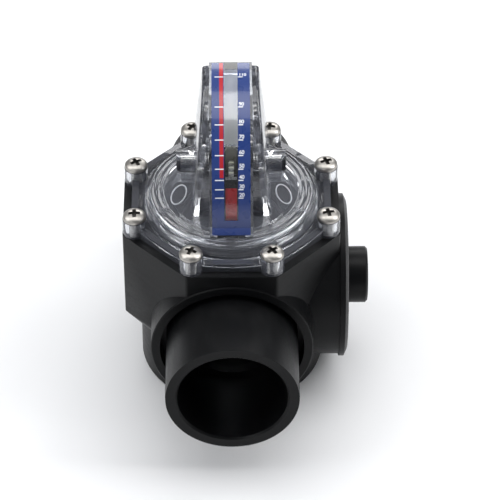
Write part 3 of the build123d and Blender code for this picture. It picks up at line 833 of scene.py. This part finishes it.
@dataclass
class ScaleLabel:
    """The printed film on the fin's arc: blue fields, a red line, white ticks and plain numbers."""

    hinge: Hinge
    radius: float = 64.03 * MM
    thickness: float = 0.2 * MM
    half_width: float = 10.4 * MM
    window: float = 3.75 * MM
    window_angle: float = 9.0
    start_angle: float = 0.3
    end_angle: float = 95.4
    red_left: float = -6.2 * MM
    red_right: float = -4.1 * MM
    red_start_angle: float = 31.0
    quarter_steps: int = 96
    ink_lift: float = 0.025 * MM
    tick_height: float = 0.55 * MM
    left_tick: Pair = (-8.7 * MM, -3.9 * MM)
    right_tick: Pair = (3.9 * MM, 6.6 * MM)
    digit_size: float = 3.0 * MM
    digit_weight: float = 0.05 * MM
    digit_spacing: float = 0.92
    digit_resolution: int = 4
    digit_place: float = 4.3 * MM
    digit_lead: float = 0.7
    slope_foot: Pair = (38.5 * MM, 118.0 * MM)
    slope_head: Pair = (29.745 * MM, 183.589 * MM)
    backing_share: Pair = (0.04, 0.93)
    marks: tuple[tuple[int, float], ...] = (
        (110, 84.3), (90, 66.1), (80, 56.8), (70, 49.3), (60, 41.8), (50, 35.3), (40, 29.9), (30, 25.3),
        (20, 21.1),
    )

    def rows(self) -> list[float]:
        """The angles of the film's rows of points."""
        stops = (self.start_angle, self.window_angle, self.red_start_angle, self.end_angle)
        rows = []
        for low, high in zip(stops, stops[1:]):
            count = round(self.quarter_steps * (high - low) / 90)
            rows += [low + (high - low) * step / count for step in range(count)]
        return [*rows, self.end_angle]

    def film(self) -> Any:
        """The film as one sheet, with its window left out and the red line's faces set apart."""
        edge, window = self.half_width, self.window
        columns = (-edge, self.red_left, self.red_right, -window, window, edge)
        rows = self.rows()
        bm = bmesh.new()
        points = [[bm.verts.new(self.hinge.point(x, self.radius, row)) for x in columns] for row in rows]
        for angle, low, high in zip(rows, points, points[1:]):
            for index, left in enumerate(columns[:-1]):
                if left == -window and angle >= self.window_angle:
                    continue
                face = bm.faces.new((low[index], low[index + 1], high[index + 1], high[index]))
                face.material_index = int(left == self.red_left and angle >= self.red_start_angle)
        growth = 1 + self.thickness / self.radius
        about_hinge = Matrix.Translation(-self.hinge.point(0.0, 0.0, 0.0))
        bmesh.ops.scale(bm, vec=(1.0, growth, growth), space=about_hinge, verts=thicken(bm))
        face_out(bm)
        return from_bmesh("scale_film", bm)

    def backing(self) -> Any:
        """The pale film on the fin's back slope, against which the pointer is read."""
        bm = bmesh.new()
        bmesh.ops.create_grid(bm, x_segments=4, y_segments=30, size=0.5)
        low, high = (Vector(self.slope_foot).lerp(self.slope_head, share) for share in self.backing_share)
        for vert in bm.verts:
            share = vert.co.y + 0.5
            vert.co = Vector((2 * self.half_width * vert.co.x, *(low + (high - low) * share)))
        slope = Vector((0.0, *(high - low))).normalized()
        outward = Vector((0.0, slope.z, -slope.y))
        bmesh.ops.translate(bm, vec=outward * self.thickness, verts=thicken(bm))
        bmesh.ops.translate(bm, vec=outward * self.ink_lift, verts=bm.verts)
        face_out(bm)
        return from_bmesh("scale_backing", bm)

    def tick(self, bm: Any, span: Pair, angle: float) -> None:
        """Add one bent tick of ink, half sunk in the film.

        Args:
            bm: The bmesh that gains it.
            span: Its left and right edge.
            angle: Its middle, in degrees round the hinge.
        """
        turn = self.tick_height / self.radius
        foot = angle - math.degrees(turn / 2)
        face_radius = self.radius + self.thickness
        low, high = face_radius - self.ink_lift, face_radius + self.ink_lift
        corners = ((span[0], low), (span[1], low), (span[1], high), (span[0], high))
        face = bm.faces.new([bm.verts.new(self.hinge.point(x, radius, foot)) for x, radius in corners])
        bmesh.ops.spin(
            bm,
            geom=[face, *face.edges, *face.verts],
            cent=self.hinge.point(0.0, 0.0, 0.0),
            axis=(-1, 0, 0),
            angle=turn,
            steps=1,
            use_merge=False,
        )

    def ticks(self) -> Any:
        """White lines at every mark, on both sides of the window."""
        bm = bmesh.new()
        for _, angle in self.marks:
            for span in (self.left_tick, self.right_tick):
                self.tick(bm, span, angle)
        face_out(bm)
        return from_bmesh("scale_ticks", bm)

    def number(self, text: str, angle: float) -> Any:
        """One plain number as a thin bent mesh.

        Args:
            text: The digits.
            angle: The angle of the number's foot.

        Returns:
            The mesh.
        """
        curve = bpy.data.curves.new("digits", "FONT")
        curve.body = text
        curve.size = self.digit_size
        curve.resolution_u = self.digit_resolution
        curve.extrude = self.ink_lift
        curve.offset = self.digit_weight
        curve.space_character = self.digit_spacing
        writer = new_object("digits", curve)
        bpy.context.view_layer.update()
        mesh = bpy.data.meshes.new_from_object(writer)
        bpy.data.objects.remove(writer)
        for vert in mesh.vertices:
            turn = angle + math.degrees(vert.co.y / self.radius)
            lift = self.radius + self.thickness + vert.co.z
            vert.co = self.hinge.point(self.digit_place + vert.co.x, lift, turn)
        return mesh

    def numbers(self) -> Any:
        """All the numbers in one mesh."""
        bm = bmesh.new()
        for mark, angle in self.marks:
            mesh = self.number(str(mark), angle + self.digit_lead)
            bm.from_mesh(mesh)
            bpy.data.meshes.remove(mesh)
        close_up(bm, 0.0005 * MM)
        return from_bmesh("scale_numbers", bm)

    def dress(self, blue: Any, red: Any, white: Any, pale: Any) -> None:
        """Finish and place film, backing, ticks and numbers.

        Args:
            blue: The film's blue ink.
            red: The red line's ink.
            white: The marks' ink.
            pale: The backing film.
        """
        settle(self.backing(), Slot.LABEL, pale)
        film = self.film()
        smooth(film)
        settle(film, Slot.LABEL, blue, red)
        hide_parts("scale_label")
        for marks in (self.ticks(), self.numbers()):
            settle(marks, Slot.LABEL, white)


@dataclass
class TorsionSpring(StandIn):
    """A wound spring with an axial tang at each end, between lid and flapper."""

    slot: Slot = Slot.SPRING
    angle: float = 60.0
    hinge: Hinge = field(kw_only=True)
    wire: float = 0.5 * MM
    wire_sides: int = 12
    mean_radius: float = 4.0 * MM
    coil_middle: float = 12.585 * MM
    coil_length: float = 5.0 * MM
    turns: int = 4
    steps: int = 30

    def place(self) -> tuple[float, float, float, float]:
        """The X places of inner tip, coil start, coil end and outer tip."""
        low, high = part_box(self.node)
        side = 1.0 if low[0] > 0 else -1.0
        tips = sorted((abs(low[0]), abs(high[0])))
        start = self.coil_middle - self.coil_length / 2
        return side * tips[0], side * start, side * (start + self.coil_length), side * tips[1]

    def mesh(self) -> Any:
        """Wind a round wire along the hinge axis and add both tangs."""
        inner, start, end, outer = self.place()
        centre = Vector((start, self.hinge.y, self.hinge.z))
        bm = bmesh.new()
        section = add_section(bm, self.wire, self.wire_sides, centre + UP * self.mean_radius)
        bmesh.ops.spin(
            bm,
            geom=section,
            cent=centre,
            axis=(1, 0, 0),
            dvec=((end - start) / (self.turns * self.steps), 0, 0),
            angle=math.copysign(FULL_TURN * self.turns, start),
            steps=self.steps * self.turns,
            use_merge=False,
        )
        close_up(bm)
        for tip, root in ((inner, start), (outer, end)):
            self.tang(bm, tip, root)
        return from_bmesh(self.node + "_wire", bm)

    def tang(self, bm: Any, tip: float, root: float) -> None:
        """Add one straight end with a round knuckle where it leaves the coil.

        Args:
            bm: The spring's bmesh.
            tip: The X place of the tang's free end.
            root: The X place of the coil's end.
        """
        top, middle = self.hinge.z + self.mean_radius, (tip + root) / 2
        sides, wire = self.wire_sides, self.wire
        knuckle = Matrix.Translation((root, self.hinge.y, top))
        bmesh.ops.create_uvsphere(bm, u_segments=sides, v_segments=8, radius=wire, matrix=knuckle)
        lie = Matrix.Translation((middle, self.hinge.y, top)) @ Matrix.Rotation(math.pi / 2, 4, "Y")
        bmesh.ops.create_cone(
            bm, cap_ends=True, segments=sides, radius1=wire, radius2=wire, depth=abs(tip - root), matrix=lie
        )

    def attach(self, piece: Any) -> None:
        """Bake the spring's place into its mesh.

        Args:
            piece: The spring.
        """
        _, start, end, _ = self.place()
        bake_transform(piece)


@dataclass
class SealRing(StandIn):
    """The round-section sealing ring in the lid's groove."""

    node: str = "lid_o_ring"
    slot: Slot = Slot.RUBBER
    angle: float = 60.0
    cad_sides: int = 8
    section_steps: int = 20
    ring_steps: int = 128

    def mesh(self) -> Any:
        """Spin a circle, as large as the node's eight-sided section, round the chamber's axis."""
        low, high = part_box(self.node)
        flat_share = math.cos(math.pi / self.cad_sides)
        section = (high[2] - low[2]) / 2 / flat_share
        centre = Vector((high[0] - section * flat_share, 0, (low[2] + high[2]) / 2))
        bm = bmesh.new()
        ring = add_section(bm, section, self.section_steps, centre)
        steps = self.ring_steps
        bmesh.ops.spin(bm, geom=ring, axis=(0, 0, 1), angle=FULL_TURN, steps=steps, use_merge=True)
        close_up(bm)
        return from_bmesh("seal_ring", bm)


@dataclass
class LidBeads:
    """Fine raised beads on the drum's top: an oval and a three-armed star on both sides of the fin."""

    drum_top: float = 118.0 * MM
    lift: float = 0.01 * MM
    height: float = 0.6 * MM
    wall: float = 0.8 * MM
    oval_at: Pair = (29.0 * MM, -5.0 * MM)
    oval_half_size: Pair = (4.2 * MM, 8.8 * MM)
    oval_lean: float = 14.0
    oval_edge: float = 0.2 * MM
    rim_angle: float = 1.2
    star_at: Pair = (37.6 * MM, -19.0 * MM)
    star_arm: float = 7.4 * MM
    star_arms: int = 3
    star_step: float = 0.1
    star_edge: float = 0.18 * MM
    steps: int = 48

    def oval(self, side: int) -> Any:
        """One oval bead.

        Args:
            side: 1 on the right, -1 on the left.

        Returns:
            The bead's bmesh.
        """
        bm = bmesh.new()
        ring = bmesh.ops.create_circle(bm, cap_ends=True, radius=1.0, segments=self.steps)["verts"]
        bmesh.ops.scale(bm, vec=(*self.oval_half_size, 1.0), verts=ring)
        rim = bmesh.ops.inset_region(
            bm, faces=list(bm.faces), thickness=self.wall, use_boundary=True, use_even_offset=True
        )["faces"]
        inner = [face for face in bm.faces if face not in set(rim)]
        bmesh.ops.delete(bm, geom=inner, context="FACES_ONLY")
        bmesh.ops.translate(bm, vec=(0, 0, self.height), verts=thicken(bm))
        x, y = self.oval_at
        lean = Matrix.Rotation(side * math.radians(self.oval_lean), 4, "Z")
        place = Matrix.Translation((side * x, y, self.drum_top + self.lift)) @ lean
        bmesh.ops.transform(bm, matrix=place, verts=bm.verts)
        face_out(bm)
        rims = [edge for edge in bm.edges if edge.calc_face_angle(0.0) > self.rim_angle]
        soften(bm, rims, self.oval_edge, 3)
        return bm

    def star(self, side: int) -> Any:
        """One star of short crossing beads.

        Args:
            side: 1 on the right, -1 on the left.

        Returns:
            The star's bmesh.
        """
        bm = bmesh.new()
        x, y = self.star_at
        middle = Matrix.Translation((side * x, y, self.drum_top + self.lift + self.height / 2))
        for arm in range(self.star_arms):
            turn = Matrix.Rotation(math.pi * arm / self.star_arms, 4, "Z")
            size = (self.star_arm, self.wall, self.height * (1 + self.star_step * arm))
            add_box(bm, size, middle @ turn)
        soften(bm, list(bm.edges), self.star_edge, 3)
        return bm

    def dress(self, frosted: Any, clear: Any) -> None:
        """Finish and place all the beads.

        Args:
            frosted: The ovals' frosted plastic.
            clear: The stars' clear plastic.
        """
        for side, hand in zip(SIDES, ("right", "left")):
            for kind, bm, material in (("oval", self.oval(side), frosted), ("star", self.star(side), clear)):
                piece = from_bmesh(f"lid_{kind}_{hand}", bm)
                smooth(piece)
                settle(piece, Slot.CLEAR, material)


@dataclass
class PartingLines:
    """Fine moulding lines along both sides of each in-line port."""

    height: float = 0.12 * MM
    half_width: float = 0.22 * MM
    radius: float = 36.5 * MM
    axis_height: float = 54.0 * MM
    start: float = 62.0 * MM
    end: float = 99.5 * MM
    edge: float = 0.1 * MM

    def dress(self, material: Any) -> None:
        """Make, finish and place four thin bevelled ridges.

        Args:
            material: The body's plastic.
        """
        bm = bmesh.new()
        size = (4 * self.height, self.end - self.start, 2 * self.half_width)
        x, y = self.radius - self.height, (self.start + self.end) / 2
        for side in SIDES:
            for way in SIDES:
                add_box(bm, size, Matrix.Translation((side * x, way * y, self.axis_height)))
        soften(bm, list(bm.edges), self.edge, 2)
        piece = from_bmesh("parting_lines", bm)
        smooth(piece)
        settle(piece, Slot.BODY, material)


@dataclass(frozen=True)
class Lamp:
    """One soft rectangular light that faces the object."""

    name: str
    at: tuple[float, float, float]
    size: Pair
    watts: float
    tint: Colour = (1.0, 1.0, 1.0)
    target: tuple[float, float, float] = (0.0, 0.0, 0.09)

    def hang(self) -> None:
        """Add the light and turn it to its target."""
        data = bpy.data.lights.new(self.name, "AREA")
        data.shape = "RECTANGLE"
        data.size, data.size_y = self.size
        data.energy = self.watts
        data.color = self.tint
        lamp = new_object(self.name, data)
        lamp.location = self.at
        aim = Vector(self.target) - Vector(self.at)
        lamp.rotation_euler = aim.to_track_quat("-Z", "Y").to_euler()


# Soft boxes above, at the sides and behind, and a weak fill that stays out of the window's reflection.
LAMPS = (
    Lamp("overhead", (0.0, 0.12, 1.25), (0.8, 0.6), 4.5),
    Lamp("left_top", (-0.85, 0.15, 1.15), (0.6, 0.9), 7.0),
    Lamp("right_top", (0.85, 0.15, 1.15), (0.6, 0.9), 7.0),
    Lamp("left_panel", (-1.1, -0.35, 0.75), (0.4, 0.9), 3.2, (0.96, 0.98, 1.0)),
    Lamp("right_panel", (1.15, -0.1, 0.8), (0.4, 0.9), 6.0),
    Lamp("back_panel", (0.1, 1.25, 0.8), (1.2, 0.5), 8.0),
    Lamp("left_fill", (-0.75, -1.3, 0.9), (0.4, 0.4), 3.0),
)


@dataclass
class Studio:
    """Floor, lights, sky and camera."""

    floor_size: float = 3.2
    floor_drop: float = 0.05 * MM
    sky_colour: Colour = (0.93, 0.95, 1.0)
    sky_strength: float = 0.22
    elevation: float = 40.1
    distance: float = 1.5
    lens: float = 195.0
    sensor_width: float = 36.0
    clip_start: float = 0.05
    aim_right: float = 10.2 * MM
    aim_down: float = 35.4 * MM

    def floor(self) -> None:
        """A pale floor under the object."""
        bm = bmesh.new()
        bmesh.ops.create_grid(bm, x_segments=1, y_segments=1, size=self.floor_size / 2)
        bmesh.ops.translate(bm, vec=(0, 0, -self.floor_drop), verts=bm.verts)
        plane = from_bmesh("studio_floor", bm)
        plane.data.materials.append(StudioFloor("floor").material())

    def sky(self) -> None:
        """An even pale surround."""
        world = bpy.data.worlds.new("surround")
        world.use_nodes = True
        background = world.node_tree.nodes["Background"].inputs
        background["Color"].default_value = (*self.sky_colour, 1.0)
        background["Strength"].default_value = self.sky_strength
        bpy.context.scene.world = world

    def camera(self, lid_centre: Vector) -> None:
        """A long lens at the photograph's angle.

        Args:
            lid_centre: The point that the lens looks at, before the aim's offsets.
        """
        data = bpy.data.cameras.new("photo_camera")
        data.lens = self.lens
        data.sensor_width = self.sensor_width
        data.clip_start = self.clip_start
        camera = new_object("photo_camera", data)
        turn = math.radians(self.elevation)
        away = Vector((0.0, -math.cos(turn), math.sin(turn)))
        up = Vector((0.0, math.sin(turn), math.cos(turn)))
        camera.location = lid_centre + away * self.distance
        target = lid_centre + Vector((self.aim_right, 0.0, 0.0)) - up * self.aim_down
        camera.rotation_euler = (target - camera.location).to_track_quat("-Z", "Y").to_euler()
        bpy.context.scene.camera = camera

    def build(self, lid_centre: Vector) -> None:
        """Set up the whole studio round the lid's centre."""
        self.camera(lid_centre)
        self.sky()
        for lamp in LAMPS:
            lamp.hang()
        self.floor()
        bpy.context.scene.view_settings.view_transform = "Standard"
        LOG.info("studio ready")


@dataclass
class FlowMeter:
    """All the dressed pieces of the meter."""

    hinge: Hinge
    foot_field: float = 5.2 * MM
    black: Any = field(init=False)
    clear: Any = field(init=False)
    steel: Any = field(init=False)
    rubber: Any = field(init=False)

    def __post_init__(self) -> None:
        """Build the finishes that several pieces share."""
        self.black = MouldedPlastic(
            "black_moulding", (0.0035, 0.0037, 0.0042), (0.007, 0.0073, 0.008), 0.38, specular=0.16
        ).material()
        self.clear = ClearPlastic("clear_moulding").material()
        self.steel = Steel("turned_stainless").material()
        self.rubber = Rubber("seal_rubber").material()

    def housing(self) -> None:
        """Body, cap, seat, lid and what the lid holds."""
        StandIn("valve_body").dress(self.black)
        StandIn("side_port_cap").dress(self.black)
        PartingLines().dress(self.black)
        seat = MouldedPlastic("seat_moulding", (0.05, 0.05, 0.052), (0.08, 0.08, 0.083), 0.3).material()
        StandIn("seat_ring", slot=Slot.SEAT).dress(seat)
        StandIn("lid", slot=Slot.CLEAR, angle=28.0).dress(self.clear)
        frosted = ClearPlastic("frosted_beads", haze_pale=(0.8, 0.82, 0.88), least_haze=0.28, drum_haze=0.12)
        LidBeads().dress(frosted.material(), self.clear)
        SealRing().dress(self.rubber)
        StandIn("hinge_pin", slot=Slot.STAINLESS).dress(self.steel)
        keeper = ClearPlastic("smoky_keeper", (0.5, 0.48, 0.48), least_haze=0.35, drum_haze=0.15).material()
        washer = MouldedPlastic("washer_plastic", (0.7, 0.7, 0.66), (0.6, 0.6, 0.57), 0.4).material()
        for hand in ("left", "right"):
            StandIn("pin_keeper_" + hand, slot=Slot.KEEPER).dress(keeper)
            StandIn("pivot_washer_" + hand, slot=Slot.WASHER).dress(washer)

    def flapper(self) -> None:
        """Flapper, facing, clamp and pointer."""
        arm = MouldedPlastic("flapper_moulding", (0.03, 0.03, 0.032), (0.05, 0.05, 0.053), 0.32).material()
        red = PaintedRim("pointer_red", self.hinge.y, self.hinge.z).material()
        tip = MouldedPlastic("pointer_black", (0.006, 0.006, 0.007), (0.012, 0.012, 0.013), 0.28).material()
        for node, slot, material in (
            ("flapper", Slot.FLAPPER, arm),
            ("flapper_seal", Slot.RUBBER, self.rubber),
            ("seal_retainer", Slot.STAINLESS, self.steel),
            ("seal_screw", Slot.STAINLESS, self.steel),
            ("pointer", Slot.RED, red),
            ("pointer_tip", Slot.BLACK, tip),
        ):
            StandIn(node, Body.FLAPPER, slot).dress(material)

    def fasteners(self) -> None:
        """Eight lid screws, each turned differently, and both springs."""
        bright = Steel("screw_stainless", (0.44, 0.42, 0.39), 0.34, 5000.0).material()
        # A darker copy of the screw steel: painted shade for the screws' cross recesses.
        shade = Steel("recess_stainless", (0.09, 0.085, 0.08), 0.5, 5000.0).material()
        names = sorted(name for name in frame["nodes"] if name.startswith("lid_screw_"))
        for index, name in enumerate(names):
            LidScrew(name, recess_turn=0.35 + 1.1 * index).dress(bright, shade)
        wire = Steel("spring_wire", (0.58, 0.57, 0.55), 0.22).material()
        for hand in ("left", "right"):
            TorsionSpring("torsion_spring_" + hand, hinge=self.hinge).dress(wire)

    def label(self) -> None:
        """The printed scale."""
        foot = self.hinge.z + self.foot_field
        blue = PrintedFilm("blue_ink", (0.012, 0.036, 0.17), (0.05, 0.09, 0.32), foot).material()
        red = PrintedFilm("red_ink", (0.42, 0.012, 0.02), (0.5, 0.05, 0.06)).material()
        white = PrintedFilm("white_ink", (0.85, 0.87, 0.9), (0.9, 0.92, 0.95)).material()
        pale = FrostedFilm("backing_film").material()
        ScaleLabel(self.hinge).dress(blue, red, white, pale)

    def build(self) -> None:
        """Build every piece in order."""
        for step in (self.housing, self.flapper, self.fasteners, self.label):
            step()
            LOG.info("%s done", step.__name__)


def main() -> None:
    """Build the studio and the meter."""
    logging.basicConfig(level=logging.INFO, format="%(name)s: %(message)s")
    screw_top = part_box("lid_screw_1")[1][2]
    Studio().build(UP * screw_top)
    FlowMeter(Hinge.read()).build()


if __name__ == "__main__":
    main()
